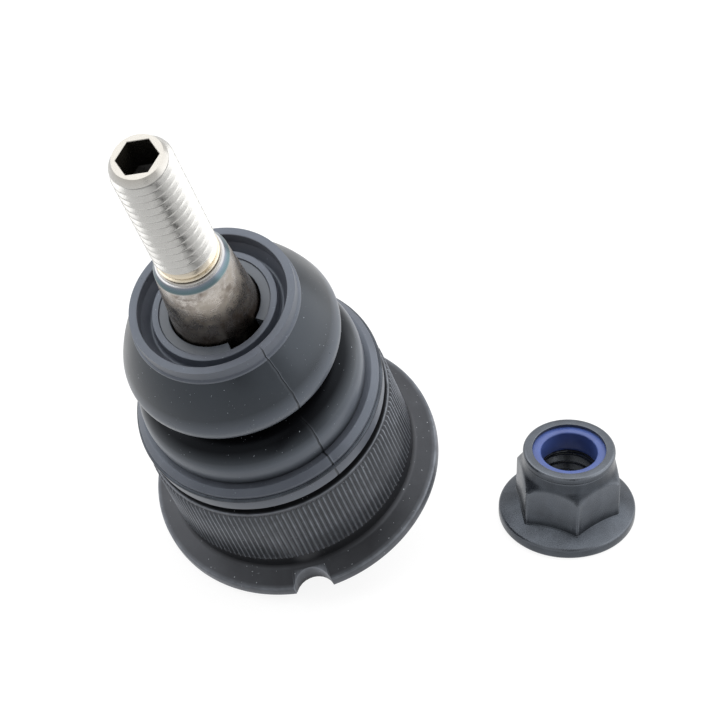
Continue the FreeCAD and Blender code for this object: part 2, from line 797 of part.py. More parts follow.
for item in doc.Objects:
    if "Invalid" in item.State or "Error" in item.State:
        raise RuntimeError("%s did not build: %s" % (item.Label, item.State))

for piece in nodes:
    shape = piece.Shape
    if shape.isNull() or not shape.isValid() or len(shape.Solids) != 1:
        raise RuntimeError("%s is not one valid solid" % piece.Label)

os.makedirs("parts", exist_ok=True)
for piece in nodes:
    piece.Shape.exportStep("parts/%s.step" % piece.Label)
    print(piece.Label, round(piece.Shape.Volume, 1))
print("lean", round(value_of("lean"), 3))
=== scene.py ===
import json
import math
from collections import namedtuple

import bmesh
import bpy
import numpy as np
from mathutils import Matrix, Vector


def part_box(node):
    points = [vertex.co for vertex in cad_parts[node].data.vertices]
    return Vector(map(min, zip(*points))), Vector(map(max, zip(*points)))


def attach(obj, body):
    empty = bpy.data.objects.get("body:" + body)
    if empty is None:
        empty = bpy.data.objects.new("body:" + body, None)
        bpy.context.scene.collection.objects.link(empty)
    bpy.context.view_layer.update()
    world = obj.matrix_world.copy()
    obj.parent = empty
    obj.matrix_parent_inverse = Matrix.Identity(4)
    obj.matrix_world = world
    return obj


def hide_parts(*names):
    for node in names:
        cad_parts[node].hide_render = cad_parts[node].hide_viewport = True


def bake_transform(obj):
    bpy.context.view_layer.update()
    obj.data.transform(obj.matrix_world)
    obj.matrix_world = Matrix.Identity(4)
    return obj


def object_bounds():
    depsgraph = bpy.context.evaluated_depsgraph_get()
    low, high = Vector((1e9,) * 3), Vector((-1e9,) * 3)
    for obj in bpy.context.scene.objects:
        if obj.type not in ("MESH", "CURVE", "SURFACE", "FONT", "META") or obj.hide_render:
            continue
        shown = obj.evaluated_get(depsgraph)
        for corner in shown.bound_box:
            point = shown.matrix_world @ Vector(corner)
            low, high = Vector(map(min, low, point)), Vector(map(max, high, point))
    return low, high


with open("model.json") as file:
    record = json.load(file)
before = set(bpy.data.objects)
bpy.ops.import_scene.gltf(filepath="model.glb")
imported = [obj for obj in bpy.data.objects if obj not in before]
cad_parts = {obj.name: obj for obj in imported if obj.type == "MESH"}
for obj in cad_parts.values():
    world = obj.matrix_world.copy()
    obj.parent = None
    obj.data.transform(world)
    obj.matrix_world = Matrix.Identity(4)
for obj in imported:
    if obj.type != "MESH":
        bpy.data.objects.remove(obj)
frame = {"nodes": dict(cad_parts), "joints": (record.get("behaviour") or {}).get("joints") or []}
cad_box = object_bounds()

# Outlines are drawn in millimetres, as (radius, height) in the joint's own upright frame,
# with height 0 at the centre of the ball. They are then leaned over as the real joint lies.
# The nut's outlines start at its bearing face.
MM = 0.001
TURN = 2 * math.pi
Span = namedtuple("Span", "inner outer low high")

joint_axis = Vector(next(j for j in frame["joints"] if j["name"] == "stud_spin")["axis"])
LEANING = Vector((0, 0, 1)).rotation_difference(joint_axis).to_matrix().to_4x4()
nut_low, nut_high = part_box("flange_nut")
NUT_PLACE = Matrix.Translation(
    ((nut_low.x + nut_high.x) / 2, (nut_low.y + nut_high.y) / 2, nut_low.z))

# Azimuths in degrees about the axis of the joint, or of the nut
NOTCH_AZIMUTH = 275.0
SOCKET_AZIMUTH = -2.0
RING_GAP_AZIMUTH = 308.5
SEAM_AZIMUTHS = (306.5, 126.5)
NUT_CORNER_AZIMUTH = -21.6
HEX_CORNERS = range(0, 360, 60)

# One thread for the stud and for the nut; its turns stand as far apart as in the photograph
THREAD_RADIUS = 7.0
THREAD_PITCH = 2.4
THREAD_DEPTH = 1.15

# Press band of the housing
TOOTH_COUNT = 144
TOOTH_DEPTH = 0.5
BAND_RADIUS = 27.4
ROOT_RADIUS = BAND_RADIUS - TOOTH_DEPTH

# How finely the pieces are drawn: degrees between two edges of a turned piece, millimetres
# between two points, steps in a rounding, and the share of a side that it may take. Then the
# bends from which an edge is drawn sharp, and from which it is lightened all the way, as wear
# and as painted highlight.
CLOSEST_ANGLES = 0.005
CLOSEST_POINTS = 0.0008
SHORTEST_EDGE = 0.0004
ROUNDING_STEPS = 5
ROUNDING_SHARE = 0.48
SHARP_EDGE = math.radians(35)
SHARP_TOOTH_EDGE = math.radians(50)
LIGHTENED_EDGE = math.radians(20)


def span(node, place=LEANING):
    """Smallest and largest radius and height of a CAD node about its own axis, in millimetres."""
    back = place.inverted()
    points = np.array([back @ v.co for v in frame["nodes"][node].data.vertices]) / MM
    radii = np.hypot(points[:, 0], points[:, 1])
    return Span(radii.min(), radii.max(), points[:, 2].min(), points[:, 2].max())


def away(angle, azimuth):
    """Degrees from an azimuth to an angle given in radians, from -180 to 180."""
    return (math.degrees(angle) - azimuth + 180) % 360 - 180


def edge_angles(step, extra=()):
    """Angles round a piece in radians: one each step degrees, with finer ones at named places."""
    angles = [i * step for i in range(round(360 / step))]
    for centre, offsets in extra:
        angles += [(centre + offset) % 360 for offset in offsets]
    ordered = []
    for angle in sorted(angles):
        if not ordered or angle - ordered[-1] > CLOSEST_ANGLES:
            ordered.append(angle)
    return [math.radians(angle) for angle in ordered]


def rounded(corners, closed=False):
    """Outline through (radius, height, rounding) corners, in which each rounding is an arc."""
    points = []
    count = len(corners)
    for i, (x, z, rounding) in enumerate(corners):
        here = Vector((x, z))
        if rounding == 0 or (not closed and i in (0, count - 1)):
            points.append((x, z))
            continue
        before = Vector(corners[i - 1][:2]) - here
        after = Vector(corners[(i + 1) % count][:2]) - here
        half = before.angle(after) / 2
        room = ROUNDING_SHARE * min(before.length, after.length)
        reach = min(rounding / math.tan(half), room)
        radius = reach * math.tan(half)
        middle = (before.normalized() + after.normalized()).normalized()
        centre = here + middle * (radius / math.sin(half))
        start = here + before.normalized() * reach - centre
        sweep = math.pi - 2 * half
        if start.x * (here - centre).y - start.y * (here - centre).x < 0:
            sweep = -sweep
        for k in range(ROUNDING_STEPS + 1):
            c = math.cos(sweep * k / ROUNDING_STEPS)
            s = math.sin(sweep * k / ROUNDING_STEPS)
            points.append((centre.x + start.x * c - start.y * s, centre.y + start.x * s + start.y * c))
    return points


def bow(start, end, radius, steps):
    """Points of an arc that bulges to the right on its way from start to end, ends included."""
    a, b = Vector(start), Vector(end)
    chord = b - a
    left = Vector((-chord.y, chord.x)).normalized()
    centre = (a + b) / 2 + left * math.sqrt(max(radius ** 2 - (chord.length / 2) ** 2, 0))
    first = math.atan2(a.y - centre.y, a.x - centre.x)
    last = math.atan2(b.y - centre.y, b.x - centre.x)
    if last < first:
        last += TURN
    angles = [first + (last - first) * k / steps for k in range(steps + 1)]
    return [(centre.x + radius * math.cos(t), centre.y + radius * math.sin(t)) for t in angles]


def hexagon_radius(angle, corner_azimuth, half_flats):
    """Distance from a hexagon's centre to its side at an angle."""
    past_corner = away(angle, corner_azimuth) % 60
    return half_flats / math.cos(math.radians(past_corner - 30))


def outward_bend(vertex):
    """How sharply the surface bends outwards at a vertex: 0 where it is flat, 1 on an edge that
    is lightened all the way, as wear and as painted highlight."""
    bends = [edge.calc_face_angle_signed(0.0) for edge in vertex.link_edges]
    return min(max(max(bends, default=0.0), 0.0) / LIGHTENED_EDGE, 1.0)


def keep_values(mesh, name, values):
    """Keep a value for each vertex of a mesh, for its material to read."""
    mesh.attributes.new(name, "FLOAT", "POINT").data.foreach_set("value", values)


def add_object(name, data):
    """A new object at the origin of the scene."""
    thing = bpy.data.objects.new(name, data)
    bpy.context.scene.collection.objects.link(thing)
    return thing


class Shell:
    """Collects turned surfaces in millimetres and makes one mesh of them."""

    def __init__(self):
        self.vertices = []
        self.faces = []
        self.tones = []

    def turn(self, columns, angles, looped=True, wrap=0, open_ends=False):
        """Join the (radius, height) columns that stand at the angles. A column runs outwards at
        the bottom and inwards at the top, so that the faces point out. A third value in a point
        marks a part that its material darkens. wrap is the number of rows by which the last
        column meets the first, as the turns of a thread do."""
        base = len(self.vertices)
        rows = len(columns[0])
        for angle, column in zip(angles, columns):
            for radius, height, *tone in column:
                self.vertices.append((radius * math.cos(angle), radius * math.sin(angle), height))
                self.tones.append(tone[0] if tone else 0.0)
        for i in range(len(angles) - (1 if open_ends else 0)):
            last = i == len(angles) - 1
            j = 0 if last else i + 1
            shift = wrap if last else 0
            for k in range(rows if looped else rows - 1):
                up = (k + 1) % rows
                if not (0 <= k + shift < rows and 0 <= up + shift < rows):
                    continue
                here, there = base + i * rows, base + j * rows + shift
                self.faces.append((here + k, there + k, there + up, here + up))
        if open_ends:
            end = base + (len(angles) - 1) * rows
            self.faces.append(tuple(base + k for k in range(rows)))
            self.faces.append(tuple(end + k for k in reversed(range(rows))))

    def piece(self, name, material, place=LEANING):
        """The finished object, at rest in the frame, with its sharp edges kept sharp."""
        mesh = bpy.data.meshes.new(name)
        mesh.from_pydata(self.vertices, [], self.faces)
        keep_values(mesh, "tone", self.tones)
        shape = bmesh.new()
        shape.from_mesh(mesh)
        bmesh.ops.remove_doubles(shape, verts=shape.verts, dist=CLOSEST_POINTS)
        bmesh.ops.dissolve_degenerate(shape, edges=shape.edges, dist=SHORTEST_EDGE)
        edges = [outward_bend(vertex) for vertex in shape.verts]
        heights = [vertex.co.z for vertex in shape.verts]
        shape.to_mesh(mesh)
        shape.free()
        keep_values(mesh, "edge", edges)
        keep_values(mesh, "height_mm", heights)
        mesh.transform(Matrix.Scale(MM, 4))
        mesh.transform(place)
        mesh.shade_smooth()
        mesh.set_sharp_from_angle(angle=SHARP_EDGE)
        mesh.materials.append(material)
        return add_object(name, mesh)


# Kinds of nodes that the materials and the world are made of
NOISE = "ShaderNodeTexNoise"
RANGE = "ShaderNodeMapRange"
RAMP = "ShaderNodeValToRGB"
MATH = "ShaderNodeMath"
MIX = "ShaderNodeMix"
BUMP = "ShaderNodeBump"
ATTRIBUTE = "ShaderNodeAttribute"
LIGHT_PATH = "ShaderNodeLightPath"

# Widths of grains in millimetres. The real crystals, flakes, skins and dust are finer than
# the render can show, so they are drawn this coarse. The lathe's marks are at its feed.
PHOSPHATE_CRYSTALS = 0.35
ZINC_FLAKES = 0.3
RUBBER_SKIN = 0.5
PLASTIC_SKIN = 0.3
DUST_ON_STEEL = 0.5
DUST_ON_RUBBER = 0.4
TOOL_MARKS = 0.25

# Noise above this level is a speck of dust, which fades in over the step
DUST_LEVEL = 0.765
DUST_STEP = 0.02

# Height bands of the boot in millimetres: where each begins, is full, starts to fade, and ends
# The fold's crest and the bell's skirt are lightened by wax bloom and by painted highlight
FOLD_BLOOM_AND_HIGHLIGHT = (22.5, 25.0, 27.0, 29.0)
SKIRT_BLOOM_AND_HIGHLIGHT = (37.0, 38.5, 41.5, 44.5)
WAIST_SHADE = (28.6, 31.0, 36.0, 38.0)

# Colours up the stud by height in millimetres: dark inside the boot as painted shade, up the
# taper and darker towards its foot, over the blued shoulder and its groove, and along the
# thread to the tip
STUD_COLOURS = (
    (52.0, "2a2622"), (54.5, "6a6057"), (58.0, "a0958a"), (63.0, "bfb6ab"), (70.8, "b4b0ac"),
    (71.1, "4f6265"), (71.9, "5c6b73"), (72.5, "75767f"), (72.7, "d9d8d4"), (73.3, "8b8680"),
    (73.6, "cfc6b4"), (74.9, "cfc3ae"), (76.5, "bebdba"), (106.8, "bebdba"), (109.3, "aaa7a1"))

# Heights between which the stud's taper ends, and between which its thread begins
TAPER_END = (70.6, 71.0)
THREAD_START = (72.5, 73.0)


def linear(colour):
    """The linear colour of an sRGB hex value such as 8a9099."""
    parts = [int(colour[i:i + 2], 16) / 255 for i in (0, 2, 4)]
    return [p / 12.92 if p <= 0.04045 else ((p + 0.055) / 1.055) ** 2.4 for p in parts] + [1.0]


def set_inputs(tree, node, inputs):
    """Give a node's inputs a value, a hex colour, or a link from the output that is named."""
    for socket, value in inputs.items():
        if isinstance(value, bpy.types.NodeSocket):
            tree.links.new(value, node.inputs[socket])
        else:
            node.inputs[socket].default_value = linear(value) if isinstance(value, str) else value


def add_node(tree, kind, inputs=(), output=0, stops=(), **settings):
    """Add a node and return one of its outputs. Its inputs are given in their order or by name,
    and stops are the (position, hex colour) pairs of a colour ramp."""
    node = tree.nodes.new(kind)
    for name, value in settings.items():
        setattr(node, name, value)
    set_inputs(tree, node, inputs if isinstance(inputs, dict) else dict(enumerate(inputs)))
    if stops:
        elements = node.color_ramp.elements
        while len(elements) < len(stops):
            elements.new(0.5)
        for element, (position, colour) in zip(elements, stops):
            element.position = position
            element.color = linear(colour)
    return node.outputs[output]


def new_material(name):
    """An empty material with its shader, and its coordinates in the piece's own space."""
    material = bpy.data.materials.new(name)
    material.use_nodes = True
    tree = material.node_tree
    place = add_node(tree, "ShaderNodeTexCoord", output="Object")
    return material, tree, tree.nodes["Principled BSDF"], place


def grains(place, width, detail=2.0, roughness=0.5):
    """What a noise needs for grains that are about that many millimetres wide."""
    return {"Vector": place, "Scale": 1 / (width * MM), "Detail": detail, "Roughness": roughness}


def relief(height, depth, strength):
    """What a bump needs for that many millimetres, from a height between 0 and 1."""
    return {"Height": height, "Distance": depth * MM, "Strength": strength}


def dust(tree, place, width):
    """Sparse specks of dust: 1 on a speck and 0 between them."""
    specks = add_node(tree, NOISE, grains(place, width, 1.0))
    return add_node(tree, RANGE, (specks, DUST_LEVEL, DUST_LEVEL + DUST_STEP, 0.0, 1.0))


def band(tree, height, limits):
    """1 in a band of heights and 0 outside it, with soft ends."""
    begin, full, fade, end = limits
    rising = add_node(tree, RANGE, (height, begin, full, 0.0, 1.0))
    falling = add_node(tree, RANGE, (height, fade, end, 1.0, 0.0))
    return add_node(tree, MATH, (rising, falling), operation="MULTIPLY")


def layered(tree, colour, layers):
    """A colour with others laid over it in turn, each by its own factor from 0 to 1."""
    for factor, layer in layers:
        colour = add_node(tree, MIX, {0: factor, 6: colour, 7: layer}, 2, data_type="RGBA")
    return colour


def phosphated_steel():
    """Forged steel, black phosphated. Its crystals make it near black with a cool dull sheen. Its
    edges and teeth are lightened, partly as bare rubbed steel and partly as painted highlight,
    the pilot is darkened as painted shade, and it has specks of dust."""
    material, tree, shader, place = new_material("phosphated_steel")
    edge = add_node(tree, ATTRIBUTE, output="Fac", attribute_name="edge")
    # The tone marks the pilot, which is darkened and dulled there as painted shade
    pilot_shade = add_node(tree, ATTRIBUTE, output="Fac", attribute_name="tone")
    crystals = add_node(tree, NOISE, grains(place, PHOSPHATE_CRYSTALS, 4.0, 0.6))
    patches = add_node(tree, NOISE, grains(place, 7.0, 4.0, 0.6))
    # Edges lighten by this noise: bare rubbed steel, and painted highlight as well
    rubbing = add_node(tree, NOISE, grains(place, 2.5, 3.0))
    edge_lightening = add_node(tree, RANGE, (rubbing, 0.3, 0.7, 0.35, 0.7))
    wear_and_highlight = add_node(tree, MATH, (edge, edge_lightening), operation="MULTIPLY")
    coat = add_node(tree, RAMP, [patches], stops=[
        (0.3, "1c1c1e"), (0.55, "232426"), (0.75, "2a2b2d")])
    specks = dust(tree, place, DUST_ON_STEEL)
    set_inputs(tree, shader, {
        "Base Color": layered(tree, coat, [(wear_and_highlight, "8b9098"), (specks, "a9adb2"), (pilot_shade, "070708")]),
        "Metallic": 0.3,
        "Roughness": add_node(tree, RANGE, (crystals, 0.3, 0.7, 0.3, 0.42)),
        "Specular IOR Level": add_node(tree, RANGE, (pilot_shade, 0.0, 1.0, 0.5, 0.1)),
        "Specular Tint": "f0f4ff",
        "Normal": add_node(tree, BUMP, relief(crystals, 0.03, 0.5)),
    })
    return material


def moulded_rubber(name, dark, light):
    """Moulded chloroprene rubber, satin. Its wax blooms blue-grey, and the fold's crest and the
    bell's skirt are lightened further, partly by that bloom and partly as painted highlight. The
    waist between them is deep in shade and stays black, the parting seam is a dark line, and
    there are specks of dust."""
    material, tree, shader, place = new_material(name)
    height = add_node(tree, ATTRIBUTE, output="Fac", attribute_name="height_mm")
    seam_line = add_node(tree, ATTRIBUTE, output="Fac", attribute_name="tone")
    bloom = add_node(tree, NOISE, grains(place, 12.0, 4.0, 0.6))
    skin = add_node(tree, NOISE, grains(place, RUBBER_SKIN, 3.0))
    creases = add_node(tree, MATH, (
        band(tree, height, FOLD_BLOOM_AND_HIGHLIGHT), band(tree, height, SKIRT_BLOOM_AND_HIGHLIGHT)), operation="MAXIMUM")
    # Painted highlight on the crests, together with their bloom
    bloom_and_highlight = add_node(tree, MATH, (creases, 0.9), operation="MULTIPLY")
    waist = band(tree, height, WAIST_SHADE)
    rubber = add_node(tree, RAMP, [bloom], stops=[(0.3, dark), (0.7, light)])
    specks = dust(tree, place, DUST_ON_RUBBER)
    set_inputs(tree, shader, {
        "Base Color": layered(tree, rubber, [
            (bloom_and_highlight, "565b63"), (waist, "08080a"), (specks, "8d949b"), (seam_line, "0a0a0b")]),
        "Roughness": add_node(tree, RANGE, (bloom, 0.3, 0.7, 0.26, 0.4)),
        "Specular IOR Level": add_node(tree, RANGE, (waist, 0.0, 1.0, 0.55, 0.1)),
        "Specular Tint": "e4f0ff",
        "Normal": add_node(tree, BUMP, relief(skin, 0.02, 0.35)),
    })
    return material


def turned_steel():
    """Turned steel of the stud, with fine marks of the tool all round. The thread is bright, the
    shoulder blued, and the taper brown with oil and handling. Painted shade darkens the stud
    inside the boot, its hexagon socket and the roots of its thread."""
    material, tree, shader, place = new_material("turned_steel")
    height = add_node(tree, ATTRIBUTE, output="Fac", attribute_name="height_mm")
    # The tone darkens the socket and the thread's roots as painted shade, and takes away their shine
    recess_shade = add_node(tree, ATTRIBUTE, output="Fac", attribute_name="tone")
    low, high = STUD_COLOURS[0][0], STUD_COLOURS[-1][0]
    along = add_node(tree, RANGE, (height, low, high, 0.0, 1.0))
    steel = add_node(tree, RAMP, [along], stops=[
        ((at - low) / (high - low), colour) for at, colour in STUD_COLOURS])
    mottle = add_node(tree, NOISE, grains(place, 2.2, 5.0, 0.7))
    blotches = add_node(tree, NOISE, grains(place, 5.0))
    marks = add_node(tree, NOISE, {
        "W": height, "Scale": 1 / TOOL_MARKS, "Detail": 2.0}, noise_dimensions="1D")
    on_taper = add_node(tree, RANGE, (height, *TAPER_END, 1.0, 0.0))
    on_thread = add_node(tree, RANGE, (height, *THREAD_START, 0.0, 1.0))
    handled = add_node(tree, RANGE, (mottle, 0.42, 0.62, 0.0, 0.7))
    stained = add_node(tree, MATH, (on_taper, handled), operation="MULTIPLY")
    oil = add_node(tree, RAMP, [blotches], stops=[(0.4, "4d3a2b"), (0.6, "a59c90")])
    unshaded = add_node(tree, RANGE, (recess_shade, 0.0, 1.0, 1.0, 0.0))
    metallic = add_node(tree, RANGE, (on_thread, 0.0, 1.0, 1.0, 0.85))
    polish = add_node(tree, RANGE, (mottle, 0.3, 0.7, 0.16, 0.4))
    thread_polish = add_node(tree, RANGE, (on_thread, 0.0, 1.0, 0.0, 0.2))
    set_inputs(tree, shader, {
        "Base Color": layered(tree, steel, [(stained, oil), (recess_shade, "26241f")]),
        "Metallic": add_node(tree, MATH, (metallic, unshaded), operation="MULTIPLY"),
        "Roughness": add_node(tree, MATH, (polish, thread_polish), operation="MAXIMUM"),
        "Normal": add_node(tree, BUMP, relief(marks, 0.02, 0.5)),
    })
    return material


def zinc_flake_steel():
    """Steel with a zinc flake coating, as on the nut: dull grey metal with a soft grain, paler on
    its edges as wear and painted highlight, and darkened as painted shade in its bore."""
    material, tree, shader, place = new_material("zinc_flake_steel")
    edge = add_node(tree, ATTRIBUTE, output="Fac", attribute_name="edge")
    # The tone marks the bore's thread, darkened there as painted shade
    recess_shade = add_node(tree, ATTRIBUTE, output="Fac", attribute_name="tone")
    flakes = add_node(tree, NOISE, grains(place, ZINC_FLAKES))
    patches = add_node(tree, NOISE, grains(place, 4.0, 3.0))
    # Edges lighten: wear, and painted highlight on the crown's roll
    wear_and_highlight = add_node(tree, MATH, (edge, 0.25), operation="MULTIPLY")
    coat = add_node(tree, RAMP, [patches], stops=[(0.3, "30343a"), (0.7, "40454c")])
    set_inputs(tree, shader, {
        "Base Color": layered(tree, coat, [(wear_and_highlight, "9ba0a8"), (recess_shade, "34373b")]),
        "Metallic": 0.75,
        "Roughness": add_node(tree, RANGE, (flakes, 0.3, 0.7, 0.24, 0.38)),
        "Normal": add_node(tree, BUMP, relief(flakes, 0.01, 0.2)),
    })
    return material


def moulded_plastic(name, dark, light, roughness):
    """A moulded plastic: two close tones in soft patches, and the fine grain of the mould."""
    material, tree, shader, place = new_material(name)
    patches = add_node(tree, NOISE, grains(place, 4.0, 3.0))
    skin = add_node(tree, NOISE, grains(place, PLASTIC_SKIN))
    set_inputs(tree, shader, {
        "Base Color": add_node(tree, RAMP, [patches], stops=[(0.3, dark), (0.7, light)]),
        "Roughness": add_node(tree, RANGE, (patches, 0.3, 0.7, roughness - 0.05, roughness + 0.05)),
        "Normal": add_node(tree, BUMP, relief(skin, 0.01, 0.4)),
    })
    return material


STEEL_BLACK = phosphated_steel()
# One rubber in two copies: pale, with bloom and painted light, for the foot and collar; near black,
# with painted shade, for the folds
RUBBER_SHADED = moulded_rubber("rubber_painted_shade", "0f1113", "1f2226")
RUBBER_BLOOMED_LIT = moulded_rubber("rubber_bloomed_painted_light", "4c5058", "5b5f68")
STEEL_BRIGHT = turned_steel()
STEEL_ZINC = zinc_flake_steel()
# Nylon of the locking insert, dyed blue: satin. Acetal of the split ring, grey, and of the
# bearing, white: satin and smooth. Elastomer of the preload ring: dark and dull.
NYLON_BLUE = moulded_plastic("nylon_blue", "384a84", "445894", 0.4)
ACETAL_GREY = moulded_plastic("acetal_grey", "4c525a", "575d65", 0.45)
ACETAL_WHITE = moulded_plastic("acetal_white", "c9c7bd", "d6d4cb", 0.4)
ELASTOMER = moulded_plastic("elastomer_dark", "26272a", "303236", 0.6)


# Across the rubber's parting seam: (degrees past its azimuth, height in millimetres, darkness).
# Its line strays by waves of (degrees, radians for a millimetre of height, radians at the
# start), and moves the rubber as far as SEAM_REACH degrees away.
SEAM_PROFILE = (
    (-0.9, 0.0, 0.0), (-0.5, -0.06, 1.0), (0.05, -0.06, 1.0), (0.3, 0.1, 0.0), (0.9, 0.0, 0.0))
SEAM_WAVES = ((0.22, 0.9, 0), (0.13, 2.3, 1))
SEAM_REACH = 5
RUBBER_ANGLES = edge_angles(
    1.5, [(azimuth, [offset for offset, _, _ in SEAM_PROFILE]) for azimuth in SEAM_AZIMUTHS])


def seam(angle):
    """Height and darkness of the rubber's parting seam at an angle."""
    offset = min((away(angle, azimuth) for azimuth in SEAM_AZIMUTHS), key=abs)
    offsets, heights, darkness = zip(*SEAM_PROFILE)
    return float(np.interp(offset, offsets, heights)), float(np.interp(offset, offsets, darkness))


def wander(vertex):
    """A point near the seam, moved a little round the axis, as its line isn't quite straight."""
    x, y, height = vertex
    angle = math.atan2(y, x)
    near = max(0.0, 1 - min(abs(away(angle, azimuth)) for azimuth in SEAM_AZIMUTHS) / SEAM_REACH)
    shift = sum(size * math.sin(height * rate + start) for size, rate, start in SEAM_WAVES)
    angle += math.radians(shift) * near
    radius = math.hypot(x, y)
    return (radius * math.cos(angle), radius * math.sin(angle), height)


def moulded(name, outer, inner, node, material):
    """A moulded rubber piece from its outer skin, upwards, and its inner skin, downwards."""
    shell = Shell()
    columns = []
    for angle in RUBBER_ANGLES:
        lift, dark = seam(angle)
        columns.append([(radius + lift, height, dark) for radius, height in outer] + list(inner))
    shell.turn(columns, RUBBER_ANGLES)
    shell.vertices = [wander(vertex) for vertex in shell.vertices]
    piece = shell.piece(name, material)
    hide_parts(node)
    return piece


def build_boot():
    """The rubber boot from its foot up to its collar, in the frame's four divisions."""
    foot = span("boot_foot")
    fold = span("boot_lower_fold")
    bell = span("boot_upper_fold")
    collar = span("boot_collar")
    wire = span("boot_clamp_ring")
    sleeve = span("boot_press_ring").outer
    wall = 1.8

    # Foot: its hem ends a little above the housing's shoulder, and a groove holds the wire ring
    hem = foot.low - 0.8
    bevel = 1.25
    ledge = 0.5
    foot_roof = 1.0
    wire_height = (wire.low + wire.high) / 2
    groove = (wire.high - wire.low) / 2
    outer = rounded([
        (sleeve, hem, 0), (foot.outer, hem, 0.35),
        (foot.outer, wire_height - groove, 0.08), (foot.outer - groove, wire_height - groove, 0.4),
        (foot.outer - groove, wire_height + groove, 0.4), (foot.outer, wire_height + groove, 0.08),
        (foot.outer, foot.high - bevel, 0.25), (foot.outer - bevel, foot.high, 0.25),
        (foot.outer - bevel - ledge, foot.high, 0), (foot.inner, foot.high, 0)])
    inner = [(foot.inner, foot.high - foot_roof), (sleeve, foot.high - foot_roof)]
    piece = moulded("boot_foot_moulding", outer, inner, "boot_foot", RUBBER_BLOOMED_LIT)
    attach(piece, "housing")

    # Lower fold: from a narrow root on the foot, out to its crest and in to the waist
    crest = (foot.outer - 2.15, foot.high + 3.0)
    waist = (fold.inner + wall, fold.high)
    fold_curve = 6.71
    root = (crest[0] - 0.5, foot.high)
    outer = [root, (crest[0] - 0.1, foot.high + 1.5)] + bow(crest, waist, fold_curve, 16)
    inner = bow((crest[0] - wall, crest[1]), (fold.inner, fold.high), fold_curve, 12)[::-1]
    inner.append((root[0] - wall, foot.high))
    piece = moulded("boot_lower_fold_moulding", outer, inner, "boot_lower_fold", RUBBER_SHADED)
    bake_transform(piece)

    # Bell: out from the waist, round its lower edge to the crest, and up its flank
    shoulder = (collar.outer, bell.high)
    edge = (waist[0] + 4.2, waist[1] + 5.8)
    crest = (edge[0] + 0.8, edge[1] + 3.2)
    edge_curve = 4.0
    flank_curve = 36.0
    outer = [waist, (waist[0] + 1.6, waist[1] + 2.4), (waist[0] + 3.1, waist[1] + 4.4)]
    outer += bow(edge, crest, edge_curve, 8)[:-1] + bow(crest, shoulder, flank_curve, 20)
    inner = bow((crest[0] - wall, crest[1]), (shoulder[0] - wall, shoulder[1]), flank_curve, 12)[::-1]
    inner += [(edge[0] - wall, edge[1] + 0.9), (fold.inner, fold.high)]
    piece = moulded("boot_bell_moulding", outer, inner, "boot_upper_fold", RUBBER_SHADED)
    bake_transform(piece)

    # Collar: a thin lip round a recess, and a hub that stands a little above the split ring
    lip = 17.95
    lip_inner = lip - 1.75
    hub = collar.inner + 1.5
    hub_top = span("collar_split_ring").high + 0.3
    recess = collar.high - 6.1
    outer = rounded([
        (collar.inner, collar.low, 0), (hub + 0.3, collar.low, 0.3),
        (shoulder[0] - wall, shoulder[1], 0), (shoulder[0], shoulder[1], 0),
        (shoulder[0] + 0.25, shoulder[1] + 0.2, 0.1), (shoulder[0] + 0.2, shoulder[1] + 0.7, 0.15),
        (lip + 0.05, shoulder[1] + 0.95, 0.15), (lip, collar.high, 0.35)])
    inner = rounded([
        (lip, collar.high, 0), (lip_inner, collar.high, 0.25),
        (lip_inner, recess + 3.4, 0.5), (hub, recess, 0.8),
        (hub, hub_top, 0.25), (collar.inner, hub_top, 0.15), (collar.inner, collar.low, 0)])[1:-1]
    piece = moulded("boot_collar_moulding", outer, inner, "boot_collar", RUBBER_BLOOMED_LIT)
    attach(piece, "boot_head")


def build_split_ring():
    """Open ring between the hub and the stud; its gap is where the photograph shows it."""
    ring = span("collar_split_ring")
    gap = 46.0
    start = RING_GAP_AZIMUTH + gap / 2
    steps = 120
    angles = [math.radians(start + (360 - gap) * k / steps) for k in range(steps + 1)]
    outline = rounded([
        (ring.inner, ring.low, 0.15), (ring.outer, ring.low, 0.15),
        (ring.outer, ring.high, 0.2), (ring.inner, ring.high, 0.2)], closed=True)
    shell = Shell()
    shell.turn([outline] * len(angles), angles, open_ends=True)
    piece = shell.piece("collar_split_ring_moulding", ACETAL_GREY)
    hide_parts("collar_split_ring")
    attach(piece, "boot_head")


# One turn of the thread, from root to root: (share of the pitch, share of the depth)
THREAD_FORM = (
    (0.0, 1.0), (0.07, 0.96), (0.14, 0.8), (0.27, 0.5), (0.40, 0.16), (0.45, 0.04),
    (0.5, 0.0), (0.55, 0.04), (0.60, 0.16), (0.73, 0.5), (0.86, 0.8), (0.93, 0.96))


def thread_column(angle, low, high, point_at):
    """One column up a right-hand thread; point_at(height, depth) gives its points."""
    turns = math.ceil((high - low) / THREAD_PITCH) + 2
    points = []
    for turn in range(turns):
        for share, depth in THREAD_FORM:
            height = low + THREAD_PITCH * (turn - 1 + share + angle / TURN)
            height = min(max(height, low), high)
            points.append(point_at(height, depth))
    return points


